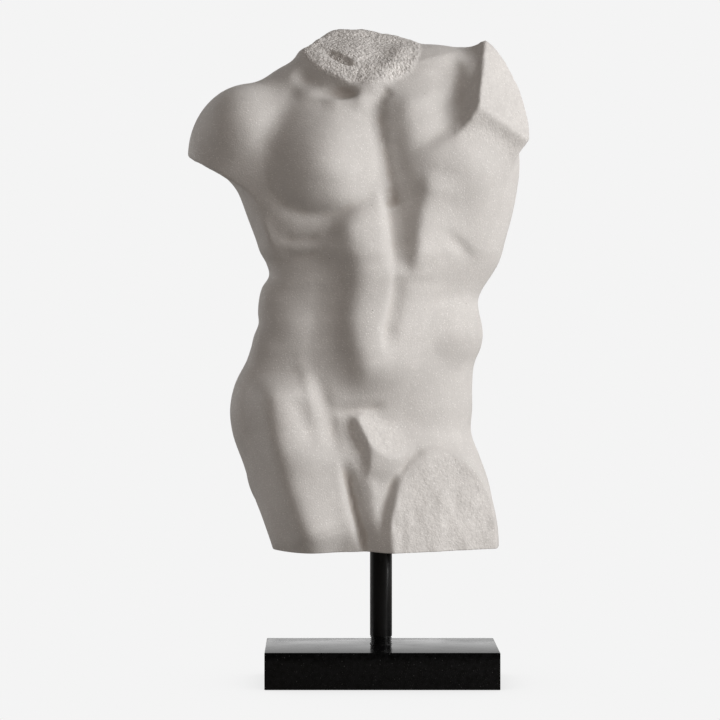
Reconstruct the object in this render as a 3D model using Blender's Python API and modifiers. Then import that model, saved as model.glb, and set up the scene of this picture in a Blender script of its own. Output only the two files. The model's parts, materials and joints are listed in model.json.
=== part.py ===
"""A cast resin torso on a steel rod and an oblong plinth.

+Z is up, the front faces -Y, and the rod's axis is X = Y = 0.

The torso is a field of distances: a loft of turned sections, muscle masses joined to it, pads and strokes of
relief, and bodies cut off by break planes. The tables below draw it in millimetres as the photograph shows it
from EYE, and solid() and drawn() carry points between that drawing and the solid. A coarse mesh of the same
masses is remeshed, settled on the field, thinned, cut level and bored for the rod.
"""

from math import cos, pi, radians, sin

import bmesh
import bpy
import numpy as np
from mathutils import Matrix

# Millimetres.
PLINTH_WIDTH = 230.0
PLINTH_DEPTH = 110.0
PLINTH_HEIGHT = 36.3
PLINTH_EDGE = 0.8
ROD_TO_PLINTH_FRONT = 66.5
ROD_DIAMETER = 22.0
ROD_SHOWN = 97.1
ROD_IN_PLINTH = 24.0
ROD_IN_TORSO = 70.0
ROD_CHAMFER = 1.5
THREAD_PITCH = 2.0
THREAD_DEPTH = 1.1
THREADS_AT_PLINTH = 4
THREADS_AT_TORSO = 2
GAP = 0.3
TORSO_HEIGHT = 521.8
TORSO_TRIANGLES = 7200

# The height of the drawing below, and its distance from the drawing's own zero to the torso's underside.
DRAWN_HEIGHT = 521.8
SCALE = TORSO_HEIGHT / DRAWN_HEIGHT
TORSO_BASE = PLINTH_HEIGHT + ROD_SHOWN

# The loft's top in the drawing and its mesh, the voxels that join the masses, and the sides of round pieces
LOFT_TOP = 486.0
LOFT_RINGS = 66
LOFT_SIDES = 64
REMESH_SIZE = 4.0
ROUND_STEPS = 48
# How far a cutter runs past a face, and how far a thread stays from one
OVERRUN = 5.0
THREAD_CLEAR = 0.4

PARTS = "resin torso"
CUTTERS = "cutters"
MM = 0.001

# height, left, right, front, back, squareness, turn
STATIONS = [
    (-30, -98, 118, -46, 54, 2.5, 10),
    (4, -106, 117, -48, 58, 2.5, 12),
    (26, -110.5, 116, -50, 62, 2.5, 13),
    (50, -122, 112, -52, 66, 2.5, 15),
    (74, -132, 107, -54, 68, 2.4, 17),
    (98, -139, 98.5, -55, 68, 2.4, 19),
    (122, -146, 90, -47, 66, 2.2, 20),
    (146, -149, 91, -46, 62, 2.2, 21),
    (170, -145, 91, -45, 56, 2.2, 21),
    (194, -134, 94, -44, 50, 2.2, 20),
    (206, -130, 99, -43.5, 47, 2.2, 20),
    (218, -127, 101, -43, 45, 2.2, 19),
    (230, -122.5, 100, -42, 44, 2.2, 19),
    (242, -123, 97.5, -41, 44, 2.2, 18),
    (254, -122, 97, -41, 45, 2.2, 18),
    (266, -119, 102, -42, 47, 2.2, 17),
    (278, -112, 110, -43, 49, 2.2, 17),
    (290, -114.5, 117, -45, 51, 2.3, 16),
    (302, -121, 121, -50, 54, 2.3, 15),
    (314, -125, 123, -52, 57, 2.3, 14),
    (338, -134, 128.5, -55, 63, 2.3, 13),
    (362, -142, 134, -57, 68, 2.3, 12),
    (386, -146, 138, -57, 72, 2.3, 11),
    (410, -142, 136, -53, 74, 2.3, 10),
    (434, -128, 122, -46, 73, 2.3, 9),
    (454, -108, 104, -38, 70, 2.3, 8),
    (470, -82, 80, -27, 62, 2.2, 6),
    (484, -54, 56, -12, 52, 2.2, 4),
]

# name: centre, radii, (lean, pitch, yaw), blend
MASSES = {
    "left_trapezius": ((-64, 18, 469), (74, 38, 31), (-20, 0, 0), 16),
    "right_trapezius": ((56, 26, 478), (66, 38, 31), (6, 0, 0), 20),
    "left_collar": ((-66, -12, 446), (66, 24, 16), (-10, 0, 10), 12),
    "left_latissimus": ((-90, 34, 350), (44, 40, 84), (-14, 0, 0), 10),
    "right_latissimus": ((87, 34, 352), (44, 40, 84), (12, 0, 0), 10),
    "left_hip": ((-96, -4, 138), (50, 54, 60), (-8, 0, -12), 16),
    "left_thigh": ((-79, -14, 44), (39, 52, 120), (-19, 0, -14), 8),
    "left_glute": ((-88, 32, 92), (46, 56, 62), (0, 0, 20), 8),
    "right_glute": ((22, 38, 88), (64, 54, 62), (0, 0, 18), 8),
    "left_deltoid": ((-138, -24, 425), (32, 31, 38), (-14, 0, 0), 12),
}

# name: masses, plane, blend, crispness
BROKEN = {
    "neck": (
        ((-22, 10, 490), (60, 46, 80), (-3, 0, 0)),
        [
            ((-18, 8, 501), (0.1, -0.6, 0.79)),
            ((-18, 8, 520), (0, -0.1, 0.99)),
            ((-56, 8, 520), (-0.59, 0.05, 0.81)),
            ((14, 8, 521), (0.3, 0.1, 0.95)),
        ],
        14,
        3,
    ),
    "arm": (
        ((-130, 0, 397), (63, 52, 73), (0, 0, 0)),
        [
            ((-168, 0, 383.5), (-0.475, 0, -0.88)),
        ],
        15,
        1.5,
    ),
    "shoulder": (
        ((94, -4, 447), (83, 41, 70), (-24, 0, -24)),
        [
            ((128, 0, 459), (0.7, -0.62, 0.36)),
            ((104, 5, 514), (-0.78, -0.5, 0.42)),
            ((122, -23, 433), (0.35, -0.86, -0.4)),
        ],
        12,
        3,
    ),
    "thigh": (
        ((45, -4, -2), (71, 77, 110), (7, 0, 8)),
        [
            ((60, -37.5, 50), (0.42, -0.88, 0.2)),
        ],
        8,
        1.5,
    ),
    "sex": (
        ((-24, -38, 101), (47, 30, 43), (-12, 0, 0)),
        [
            ((-20, -60, 115), (-0.62, -0.78, -0.05)),
            ((-8, -63, 111), (0.62, -0.68, 0.54)),
            ((-20, -50, 146), (0, -0.35, 0.94)),
        ],
        5,
        1,
    ),
}
# Smooth sides pared from a mass: planes, and how softly they meet it
PARED = {
    "neck": ([((2, -20, 480), (0.78, -0.62, 0.1)), ((-46, -28, 480), (-0.6, -0.8, 0))], 9),
}
# centre, radii, turn, blend: hollows
HOLLOWS = [
    ((137, -42, 396), (14, 22, 24), (0, 0, 0), 8),
    ((-50, -14, 500), (24, 16, 4.5), (28, 0, 0), 3),
    ((-27, -42, 481), (18, 14, 12), (10, 0, 0), 3),
    ((-50, -38, 464), (26, 14, 9), (8, 0, 0), 5),
]

# The drawing is in millimetres as seen in the photograph, from this point.
EYE = (-53.0, -2533.0, 246.6)
DRAWN = (-53.0, 254.0)

# centre x, z; half width, half height; turn; height; squareness; hardness; side
PADS = [
    ("left_pec", -60, 396, 58, 56, 0, 15, 2.4, 1.4, -1),
    ("left_pec_low", -58, 368, 50, 32, 0, 5, 2.4, 1.6, -1),
    ("right_pec", 72, 396, 62, 54, 12, 8.5, 2.4, 1.8, -1),
    ("right_pec_upper", 28, 440, 40, 38, -20, 6, 2.2, 1.8, -1),
    ("right_belly", 34, 250, 34, 90, 0, 3, 2.2, 2, -1),
    ("lower_belly", 2, 178, 62, 36, 0, 4, 2.2, 1.8, -1),
    ("left_flank", -92, 232, 28, 26, 0, 2.5, 2, 2, -1),
    ("right_flank", 80, 224, 34, 44, 12, 5, 2.0, 1.6, -1),
    ("left_scapula", -70, 408, 50, 58, 10, 9, 2.3, 1.2, 1),
    ("right_scapula", 62, 418, 50, 54, -10, 10, 2.3, 1.2, 1),
    ("left_spinal", -42, 232, 20, 84, 8, 7, 2.2, 1.2, 1),
    ("right_spinal", 0, 240, 20, 84, 8, 7, 2.2, 1.2, 1),
    ("left_back", -70, 320, 46, 60, 0, 4, 2.2, 1.3, 1),
    ("right_back", 52, 320, 50, 60, 0, 4, 2.2, 1.3, 1),
    ("right_pec_side", 96, 376, 36, 50, 0, 3, 2.2, 1.8, -1),
    ("right_hip", 60, 150, 40, 50, 0, 3, 2.2, 1.8, -1),
]

# line in x, z; height (+) or depth (-); width below or left, above or right; taper; side
STROKES = [
    ("sternum", [(8, 468), (-3, 453), (-1, 424), (3, 397), (8, 370), (14, 345)], -5, 10, 7, 0.06, -1),
    ("linea_alba", [(8, 372), (10, 348), (12, 328), (14, 310), (15, 294), (16, 278)], -14, 7, 16, 0.35, -1),
    ("linea_low", [(15, 290), (15, 266), (11, 246), (5, 222), (9, 198)], -5, 5, 10, 0.3, -1),
    ("left_rectus", [(-34, 350), (-26, 322), (-21, 290), (-20, 268), (-25, 240), (-23, 218), (-14, 190),
      (-8, 160)], 10, 18, 29, 0.15, -1),
    ("right_rectus", [(54, 384), (48, 352), (43, 322), (41, 296), (40, 270)], 8, 13, 24, 0.2, -1),
    ("left_clavicle", [(-62, 452), (-46, 457), (-24, 457), (-6, 452)], 5, 12, 4, 0.3, -1),
    ("left_collar_hollow", [(-90, 480), (-64, 472), (-42, 467), (-18, 462)], -9, 8, 11, 0.25, -1),
    ("right_clavicle", [(12, 448), (34, 456), (56, 462), (78, 464)], 3, 10, 10, 0.3, -1),
    ("delto_pectoral", [(-78, 468), (-92, 452), (-106, 434), (-116, 416), (-120, 396)], -3, 10, 12, 0.2, -1),
    ("right_diagonal", [(22, 404), (40, 412), (62, 424), (84, 440), (94, 456)], -5, 9, 13, 0.4, -1),
    ("left_arch", [(-104, 316), (-84, 314), (-58, 317)], -2.5, 5, 5, 0.3, -1),
    ("right_arch", [(60, 326), (74, 312), (86, 300), (96, 292)], -3, 8, 7, 0.4, -1),
    ("left_rib_1", [(-124, 342), (-115, 322), (-108, 300)], 3, 7, 7, 0.4, -1),
    ("left_waist", [(-116, 290), (-96, 292), (-66, 296), (-44, 300)], -3, 7, 7, 0.3, -1),
    ("left_waist_roll", [(-112, 270), (-80, 274), (-40, 274)], 2, 8, 8, 0.3, -1),
    ("right_cross", [(18, 284), (34, 284), (58, 292)], -1.5, 7, 7, 0.3, -1),
    ("groin_left", [(-68, 184), (-59, 160), (-52, 136), (-47, 110), (-41, 90)], -4, 9, 8, 0.35, -1),
    ("iliac", [(-84, 200), (-76, 180), (-70, 158), (-64, 124)], 2, 6, 7, 0.4, -1),
    ("thigh_front", [(-108, 182), (-105, 140), (-99, 110), (-92, 80), (-82, 50), (-70, 20),
      (-62, -6)], 22, 20, 40, 0.15, -1),
    ("belly_crease", [(-54, 144), (-30, 143), (-8, 146), (6, 149)], -3, 6, 7, 0.25, -1),
    ("groin_right", [(16, 78), (28, 94), (44, 106)], -3, 8, 7, 0.3, -1),
    ("crotch_left", [(-40, 96), (-32, 70), (-28, 48), (-21, 24), (-12, -8)], -11, 5, 7, 0.3, -1),
    ("scrotum", [(-14, 84), (-8, 62), (-6, 40), (-1, 22), (4, 2)], 4, 8, 8, 0.2, -1),
    ("crotch_right", [(14, 90), (11, 68), (7, 46), (5, 22), (8, -10)], -4, 5, 4, 0.25, -1),
    ("spine", [(-8, 480), (-8, 420), (-10, 370), (-16, 320), (-22, 270), (-30, 220), (-40, 176),
      (-46, 150)], -8, 15, 15, 0.15, 1),
    ("cleft", [(-46, 156), (-45, 120), (-38, 80), (-26, 40), (-14, -20)], -13, 9, 9, 0.1, 1),
    ("left_shoulder_blade", [(-30, 452), (-34, 420), (-46, 380), (-70, 356), (-100, 350)], -4, 9, 9, 0.3, 1),
    ("right_shoulder_blade", [(18, 462), (22, 430), (34, 392), (56, 368), (90, 362)], -4, 9, 9, 0.3, 1),
    ("left_seat", [(-128, 44), (-100, 30), (-60, 24), (-34, 30)], -9, 10, 9, 0.2, 1),
    ("right_seat", [(-20, 30), (20, 22), (62, 26), (96, 44)], -9, 10, 9, 0.2, 1),
    ("left_dimple", [(-78, 168), (-70, 150)], -4, 9, 9, 0.3, 1),
    ("right_dimple", [(-8, 166), (-14, 150)], -4, 9, 9, 0.3, 1),
    ("keel", [(6, 362), (4, 320), (2, 260), (1, 210), (4, 170), (8, 130)], 19, 62, 48, 0.35, -1),
    ("chest_valley", [(2, 462), (0, 440), (2, 420), (4, 400), (8, 376), (13, 348)], -8, 38, 19, 0.3, -1),
    ("left_belly_side", [(-52, 300), (-58, 262), (-60, 232), (-64, 200), (-60, 176)], -2.5, 14, 26, 0.3, -1),
    ("neck_right", [(-12, 462), (0, 480), (16, 500), (26, 518)], 4, 12, 10, 0.2, -1),
    ("rib_margin", [(-8, 356), (-28, 336), (-46, 312), (-58, 292)], 3, 10, 14, 0.3, -1),
    ("right_neck_hollow", [(68, 500), (72, 482), (77, 462), (84, 440)], -8, 22, 11, 0.3, -1),
    ("left_pec_under", [(-116, 378), (-104, 356), (-82, 342), (-56, 338), (-32, 344),
      (-14, 358)], -3.5, 9, 8, 0.3, -1),
    ("chest_valley_low", [(10, 424), (14, 404), (16, 384), (20, 360), (22, 340)], -4, 16, 24, 0.35, -1),
    ("left_rib_2", [(-102, 299), (-80, 298), (-60, 302)], -2, 4, 5, 0.3, -1),
    ("base_round", [(-116, -2), (-92, -4), (-66, -6)], -4, 14, 16, 0.4, -1),
    ("thigh_valley", [(-90, 160), (-80, 138), (-72, 120), (-65, 102)], -2.8, 8, 9, 0.35, -1),
    ("pec_ridge", [(-48, 456), (-52, 430), (-56, 400), (-58, 370)], 4, 30, 30, 0.3, -1),
]


def catmull(z, xs, ys):
    xs, ys = np.asarray(xs, float), np.asarray(ys, float)
    slope = np.gradient(ys, xs)
    z = np.clip(z, xs[0], xs[-1])
    i = np.clip(np.searchsorted(xs, z) - 1, 0, len(xs) - 2)
    h = xs[i + 1] - xs[i]
    t = (z - xs[i]) / h
    return ((2*t**3 - 3*t**2 + 1) * ys[i] + (t**3 - 2*t**2 + t) * h * slope[i]
            + (3*t**2 - 2*t**3) * ys[i+1] + (t**3 - t**2) * h * slope[i+1])


def section(z):
    """Centre x and y, half width and depth, squareness and turn at each height."""
    s = np.array(STATIONS, float)
    left, right, front, back, n, turn = (catmull(z, s[:, 0], s[:, k]) for k in range(1, 7))
    turn = np.radians(turn)
    b = (back - front) / 2
    m = n / (n - 1)
    w = (right - left) / 2
    a = (w**m - np.abs(b * np.sin(turn)) ** m) ** (1 / m) / np.cos(turn)
    return (left + right) / 2, (front + back) / 2, a, b, n, turn


def rotation(lean, pitch, yaw):
    a, b, c = radians(lean), radians(pitch), radians(yaw)
    ry = np.array([[np.cos(a), 0, np.sin(a)], [0, 1, 0], [-np.sin(a), 0, np.cos(a)]])
    rx = np.array([[1, 0, 0], [0, np.cos(b), -np.sin(b)], [0, np.sin(b), np.cos(b)]])
    rz = np.array([[np.cos(c), -np.sin(c), 0], [np.sin(c), np.cos(c), 0], [0, 0, 1]])
    return rz @ rx @ ry


def ellipsoid(p, centre, radii, turn):
    q = (p - np.array(centre)) @ rotation(*turn)
    r = np.array(radii, float)
    k0 = np.sqrt(((q / r) ** 2).sum(1))
    k1 = np.sqrt(((q / r**2) ** 2).sum(1))
    return k0 * (k0 - 1) / np.maximum(k1, 1e-6)


def trunk(p):
    """Distance to the loft, and where each point lies from its back (1) to its front (-1)."""
    cx, cy, a, b, n, turn = section(p[:, 2])
    dx, dy = p[:, 0] - cx, p[:, 1] - cy
    c, s = np.cos(turn), np.sin(turn)
    lx, ly = dx * c + dy * s, dy * c - dx * s
    u, v = np.abs(lx) / a, np.abs(ly) / b
    f = (u**n + v**n + 1e-9) ** (1 / n)
    g = np.sqrt((u ** (n - 1) / a) ** 2 + (v ** (n - 1) / b) ** 2) * f ** (1 - n)
    d = (f - 1) / np.maximum(g, 0.4 / np.maximum(a, b))
    return smooth_cut(d, p[:, 2] - LOFT_TOP, 3), ly / b


def smooth_union(a, b, k):
    h = np.clip(0.5 + 0.5 * (b - a) / k, 0, 1)
    return b + (a - b) * h - k * h * (1 - h)


def smooth_cut(a, b, k):
    return -smooth_union(-a, -b, k)


def smooth(t):
    t = np.clip(t, 0, 1)
    return t * t * (3 - 2 * t)


def plane(p, at, normal):
    n = np.array(normal, float)
    return (p - np.array(at, float)) @ (n / np.linalg.norm(n))


def rounded(line):
    """Cuts the corners of a line once."""
    pts = [np.array(q, float) for q in line]
    out = [pts[0]]
    for a, b in zip(pts, pts[1:]):
        out += [a * 0.75 + b * 0.25, a * 0.25 + b * 0.75]
    return out + [pts[-1]]


def stroke(x, z, line, height, low, high, taper):
    best = np.full(len(x), 1e9)
    sign = np.zeros(len(x))
    at = np.zeros(len(x))
    steps = [np.linalg.norm(b - a) for a, b in zip(line, line[1:])]
    total, done = sum(steps), 0.0
    for a, b, long in zip(line, line[1:], steps):
        dx, dz = (b - a) / long
        qx, qz = x - a[0], z - a[1]
        t = np.clip(qx * dx + qz * dz, 0, long)
        ox, oz = qx - t * dx, qz - t * dz
        d = np.sqrt(ox * ox + oz * oz)
        near = d < best
        best = np.where(near, d, best)
        sign = np.where(near, dx * qz - dz * qx, sign)
        at = np.where(near, (done + t) / total, at)
        done += long
    ends = smooth(np.minimum(at, 1 - at) / taper * 0.9 + 0.1)
    mix = smooth(sign / (low + high) + 0.5)
    width = low + (high - low) * mix
    return height * ends * np.exp(-((best / width) ** 2))


LINES = [(rounded(line), *rest) for _, line, *rest in STROKES]


def relief(p, v):
    out = np.zeros(len(p))
    x, z = p[:, 0], p[:, 2]
    for side in (-1, 1):
        on = smooth((v * side - 0.05) / 0.5)
        some = np.where(on > 0)[0]
        xs, zs, r = x[some], z[some], np.zeros(len(some))
        for _, cx, cz, rx, rz, turn, height, n, hard, of in PADS:
            if of != side:
                continue
            m = np.where((np.abs(xs - cx) < max(rx, rz)) & (np.abs(zs - cz) < max(rx, rz)))[0]
            c, s = np.cos(radians(turn)), np.sin(radians(turn))
            qx, qz = xs[m] - cx, zs[m] - cz
            lx, lz = np.abs(qx * c + qz * s) / rx, np.abs(qz * c - qx * s) / rz
            f = np.clip(1 - (lx**n + lz**n) ** (2 / n), 0, 1)
            r[m] += height * f**hard
        for line, height, low, high, taper, of in LINES:
            if of != side:
                continue
            lo, hi = np.min(line, axis=0) - 2.6 * max(low, high), np.max(line, axis=0) + 2.6 * max(low, high)
            m = np.where((xs > lo[0]) & (xs < hi[0]) & (zs > lo[1]) & (zs < hi[1]))[0]
            if len(m):
                r[m] += stroke(xs[m], zs[m], line, height, low, high, taper)
        out[some] += r * on[some]
    return out


def drawn(p):
    """Where points of the solid lie in the drawing."""
    s = EYE[1] / (EYE[1] - p[:, 1])
    return np.column_stack(((p[:, 0] - EYE[0]) * s + DRAWN[0], p[:, 1], (p[:, 2] - EYE[2]) * s + DRAWN[1]))


def solid(q):
    """Where points of the drawing lie in the solid."""
    s = EYE[1] / (EYE[1] - q[:, 1])
    return np.column_stack(((q[:, 0] - DRAWN[0]) / s + EYE[0], q[:, 1], (q[:, 2] - DRAWN[1]) / s + EYE[2]))


def field(p):
    p = drawn(p)
    d, v = trunk(p)
    for centre, radii, turn, k in MASSES.values():
        m = np.where((np.abs(p - np.array(centre)) < max(radii) + 25).all(1))[0]
        d[m] = smooth_union(d[m], ellipsoid(p[m], centre, radii, turn), k)
    d = d - relief(p, v)
    for name, (mass, cuts, k, crisp) in BROKEN.items():
        m = np.where((np.abs(p - np.array(mass[0])) < max(mass[1]) + 25).all(1))[0]
        e = ellipsoid(p[m], *mass)
        sides, soft = PARED.get(name, ([], 1))
        for side in sides:
            e = smooth_cut(e, plane(p[m], *side), soft)
        for cut in cuts:
            e = smooth_cut(e, plane(p[m], *cut), crisp)
        d[m] = smooth_union(d[m], e, k)
    for centre, radii, turn, k in HOLLOWS:
        m = np.where((np.abs(p - np.array(centre)) < max(radii) + 20).all(1))[0]
        d[m] = smooth_cut(d[m], -ellipsoid(p[m], centre, radii, turn), k)
    return d


def gradient(p, d, e=0.25):
    g = np.empty_like(p)
    for k in range(3):
        q = p.copy()
        q[:, k] += e
        g[:, k] = (field(q) - d) / e
    return g


def settle(p, rounds=6, most=12.0):
    for _ in range(rounds):
        d = field(p)
        g = gradient(p, d)
        size = np.maximum((g**2).sum(1), 0.05)
        step = np.clip(d / size, -most, most)
        p = p - step[:, None] * g
    return p


def clear():
    for obj in list(bpy.data.objects):
        bpy.data.objects.remove(obj)


def add_ellipsoid(bm, centre, radii, turn):
    m = Matrix.Translation(centre) @ Matrix(rotation(*turn).tolist()).to_4x4() @ Matrix.Diagonal((*radii, 1))
    bmesh.ops.create_icosphere(bm, subdivisions=4, radius=1, matrix=m)


def cut_off(bm, at, normal):
    everything = bm.verts[:] + bm.edges[:] + bm.faces[:]
    cut = bmesh.ops.bisect_plane(bm, geom=everything, plane_co=at, plane_no=normal, clear_outer=True)
    rim = [g for g in cut["geom_cut"] if isinstance(g, bmesh.types.BMEdge)]
    if rim:
        bmesh.ops.contextual_create(bm, geom=rim)


def mesh_of(name, bm):
    mesh = bpy.data.meshes.new(name)
    bm.to_mesh(mesh)
    bm.free()
    return mesh


def blockout():
    """The loft and every mass, as closed shells that cross each other."""
    bm = bmesh.new()
    heights = np.linspace(STATIONS[0][0], LOFT_TOP, LOFT_RINGS)
    rings = []
    for z, cx, cy, a, b, n, turn in zip(heights, *section(heights)):
        ring = []
        for i in range(LOFT_SIDES):
            c, s = cos(2 * pi * i / LOFT_SIDES), sin(2 * pi * i / LOFT_SIDES)
            u, v = a * np.sign(c) * abs(c) ** (2 / n), b * np.sign(s) * abs(s) ** (2 / n)
            x, y = u * cos(turn) - v * sin(turn), u * sin(turn) + v * cos(turn)
            ring.append(bm.verts.new((cx + x, cy + y, z)))
        rings.append(ring)
    for low, high in zip(rings, rings[1:]):
        for i in range(LOFT_SIDES):
            j = (i + 1) % LOFT_SIDES
            bm.faces.new((low[i], low[j], high[j], high[i]))
    bm.faces.new(rings[0][::-1])
    bm.faces.new(rings[-1])
    bmesh.ops.recalc_face_normals(bm, faces=bm.faces[:])
    for centre, radii, turn, _ in MASSES.values():
        add_ellipsoid(bm, centre, radii, turn)
    for mass, cuts, _, _ in BROKEN.values():
        part = bmesh.new()
        add_ellipsoid(part, *mass)
        for at, normal in cuts:
            cut_off(part, at, normal)
        made = mesh_of("part", part)
        bm.from_mesh(made)
        bpy.data.meshes.remove(made)
    for vert, at in zip(bm.verts, solid(np.array([v.co for v in bm.verts]))):
        vert.co = at
    return mesh_of("torso", bm)


def evaluated(obj):
    """Puts the object's mesh as its modifiers leave it in place of the mesh and the modifiers."""
    graph = bpy.context.evaluated_depsgraph_get()
    mesh = bpy.data.meshes.new_from_object(obj.evaluated_get(graph))
    obj.modifiers.clear()
    obj.data = mesh


def remeshed(obj):
    modifier = obj.modifiers.new("remesh", "REMESH")
    modifier.mode = "VOXEL"
    modifier.voxel_size = REMESH_SIZE
    evaluated(obj)


def relaxed(obj):
    modifier = obj.modifiers.new("relax", "SMOOTH")
    modifier.factor = 0.5
    modifier.iterations = 4
    evaluated(obj)


def settled(obj, rounds, most):
    points = np.empty(len(obj.data.vertices) * 3)
    obj.data.vertices.foreach_get("co", points)
    obj.data.vertices.foreach_set("co", settle(points.reshape(-1, 3), rounds, most).ravel())
    obj.data.update()


def material(name, colour, roughness, metallic):
    made = bpy.data.materials.new(name)
    made.use_nodes = True
    shader = made.node_tree.nodes["Principled BSDF"]
    shader.inputs["Base Color"].default_value = (*colour, 1)
    shader.inputs["Roughness"].default_value = roughness
    shader.inputs["Metallic"].default_value = metallic
    return made


def collection(name):
    made = bpy.data.collections.new(name)
    bpy.context.scene.collection.children.link(made)
    return made


def placed(name, mesh, group):
    obj = bpy.data.objects.new(name, mesh)
    bpy.data.collections[group].objects.link(obj)
    return obj


def cutter(name, bm):
    """Hidden from the render and drawn as wire."""
    obj = placed(name, mesh_of(name, bm), CUTTERS)
    obj.hide_render = True
    obj.display_type = "WIRE"
    return obj


def socket(name, bottom, top):
    """A cutter round the rod's end, with the gap."""
    bm = bmesh.new()
    radius = (ROD_DIAMETER / 2 + GAP) * MM
    middle = Matrix.Translation((0, 0, (top + bottom) / 2 * MM))
    bmesh.ops.create_cone(bm, cap_ends=True, segments=ROUND_STEPS, radius1=radius, radius2=radius,
                          depth=(top - bottom) * MM, matrix=middle)
    return cutter(name, bm)


def cut(obj, tool):
    modifier = obj.modifiers.new(tool.name, "BOOLEAN")
    modifier.operation = "DIFFERENCE"
    modifier.solver = "EXACT"
    modifier.object = tool


def build_torso():
    torso = placed("torso", blockout(), PARTS)
    remeshed(torso)
    settled(torso, 4, 3 * REMESH_SIZE)
    remeshed(torso)
    settled(torso, 5, REMESH_SIZE)
    relaxed(torso)
    settled(torso, 2, REMESH_SIZE / 2)
    thin = torso.modifiers.new("thin", "DECIMATE")
    thin.ratio = TORSO_TRIANGLES / sum(len(p.vertices) - 2 for p in torso.data.polygons)
    evaluated(torso)
    torso.data.transform(Matrix.Translation((0, 0, TORSO_BASE * MM)) @ Matrix.Scale(SCALE * MM, 4))
    torso.data.materials.append(material("resin", (0.6, 0.57, 0.54), 0.66, 0))
    torso.data.shade_smooth()
    torso.data.set_sharp_from_angle(angle=radians(45))

    # A block up to the underside levels it, and stands wide of it on every side.
    bm = bmesh.new()
    side = 2 * TORSO_HEIGHT * MM
    lowered = Matrix.Translation((0, 0, TORSO_BASE * MM - side / 2))
    bmesh.ops.create_cube(bm, size=side, matrix=lowered)
    cut(torso, cutter("level", bm))
    cut(torso, socket("torso_socket", TORSO_BASE - OVERRUN, TORSO_BASE + ROD_IN_TORSO + GAP))


def thread(bottom, turns):
    """The profile down a run of thread, as grooves round the rod."""
    radius, heights = ROD_DIAMETER / 2, [bottom + k * THREAD_PITCH for k in range(turns)]
    points = [(radius, bottom + turns * THREAD_PITCH)]
    for low in reversed(heights):
        points += [(radius - THREAD_DEPTH, low + THREAD_PITCH / 2), (radius, low)]
    return points


def build_rod():
    radius, bottom, top = ROD_DIAMETER / 2, PLINTH_HEIGHT - ROD_IN_PLINTH, TORSO_BASE + ROD_IN_TORSO
    profile = [(0, top), (radius - ROD_CHAMFER, top), (radius, top - ROD_CHAMFER)]
    profile += thread(TORSO_BASE - THREAD_CLEAR - THREADS_AT_TORSO * THREAD_PITCH, THREADS_AT_TORSO)
    profile += thread(PLINTH_HEIGHT + THREAD_CLEAR, THREADS_AT_PLINTH)
    profile += [(radius, bottom + ROD_CHAMFER), (radius - ROD_CHAMFER, bottom), (0, bottom)]
    bm = bmesh.new()
    line = [bm.verts.new((x * MM, 0, z * MM)) for x, z in profile]
    for a, b in zip(line, line[1:]):
        bm.edges.new((a, b))
    rod = placed("rod", mesh_of("rod", bm), PARTS)
    rod.data.materials.append(material("black steel", (0.02, 0.02, 0.02), 0.35, 0))
    turned = rod.modifiers.new("turned", "SCREW")
    turned.steps = turned.render_steps = ROUND_STEPS
    turned.use_merge_vertices = True
    turned.merge_threshold = 0.00001
    evaluated(rod)
    rod.data.shade_smooth()
    rod.data.set_sharp_from_angle(angle=radians(30))


def build_plinth():
    bm = bmesh.new()
    middle = Matrix.Translation((0, (PLINTH_DEPTH / 2 - ROD_TO_PLINTH_FRONT) * MM, PLINTH_HEIGHT / 2 * MM))
    size = Matrix.Diagonal((PLINTH_WIDTH * MM, PLINTH_DEPTH * MM, PLINTH_HEIGHT * MM, 1))
    bmesh.ops.create_cube(bm, size=1, matrix=middle @ size)
    plinth = placed("plinth", mesh_of("plinth", bm), PARTS)
    plinth.data.materials.append(material("black stone", (0.015, 0.015, 0.016), 0.1, 0))
    edge = plinth.modifiers.new("edge", "BEVEL")
    edge.width = PLINTH_EDGE * MM
    edge.segments = 2
    cut(plinth, socket("plinth_socket", PLINTH_HEIGHT - ROD_IN_PLINTH - GAP, PLINTH_HEIGHT + OVERRUN))


clear()
collection(PARTS)
collection(CUTTERS)
build_torso()
build_rod()
build_plinth()
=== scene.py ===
"""Looks for a cast resin torso on a black steel rod and an oblong black plinth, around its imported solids.

+Z is up, the front faces -Y and the rod's axis is X = Y = 0, in metres. The torso is made again from the
measures of the form, with a finer mesh and rough breaks. The rod gets a cut thread, and the plinth gets
softened, polished edges.
"""

import json
from math import atan2, cos, pi, radians, sin

import bmesh
import bpy
import numpy as np
from mathutils import Matrix, Vector

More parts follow.
